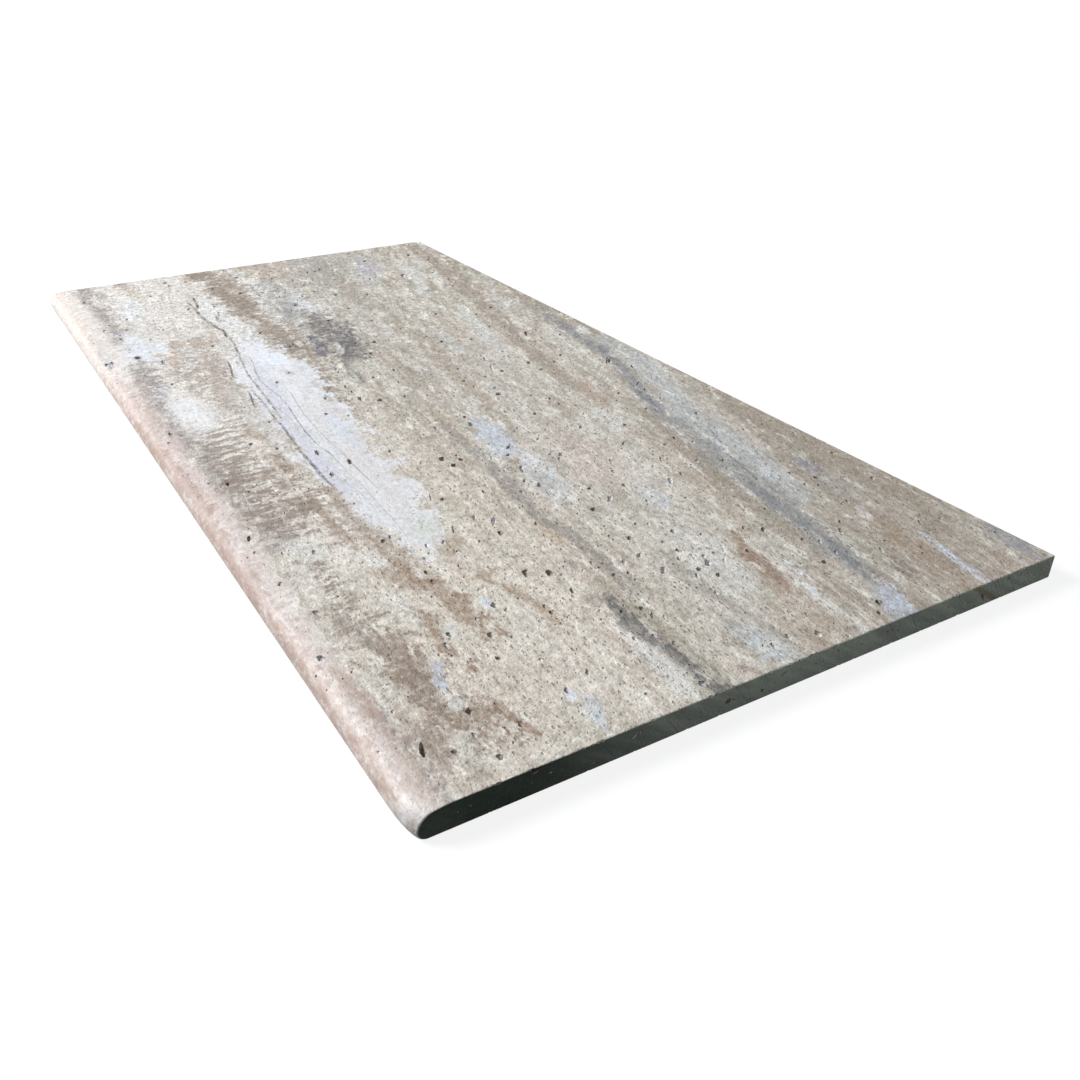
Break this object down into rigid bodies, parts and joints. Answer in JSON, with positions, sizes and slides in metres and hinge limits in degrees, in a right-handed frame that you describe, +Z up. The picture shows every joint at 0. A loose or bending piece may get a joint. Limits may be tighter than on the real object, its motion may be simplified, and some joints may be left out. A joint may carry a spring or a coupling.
{
  "type": "travertine coping stone",
  "caption": "Thin rectangular coping slab of honed, unfilled travertine with one rounded long nose, sawn joint edges and open natural voids.",
  "frame": {"origin": "centre of the plan, on the sawn underside that the stone lies on", "axes": "+Y along the length, away from the end with the worn nose corner; +Z up out of the honed top face; the rounded nose faces -X and the sawn deck edge faces +X"},
  "size_m": [0.305, 0.61, 0.011],
  "materials": {
    "honed_travertine": "honed, unfilled travertine, beige with white, grey and brown bedding"
  },
  "bodies": {
    "root": {"coping_stone": "honed_travertine"}
  },
  "joints": []
}
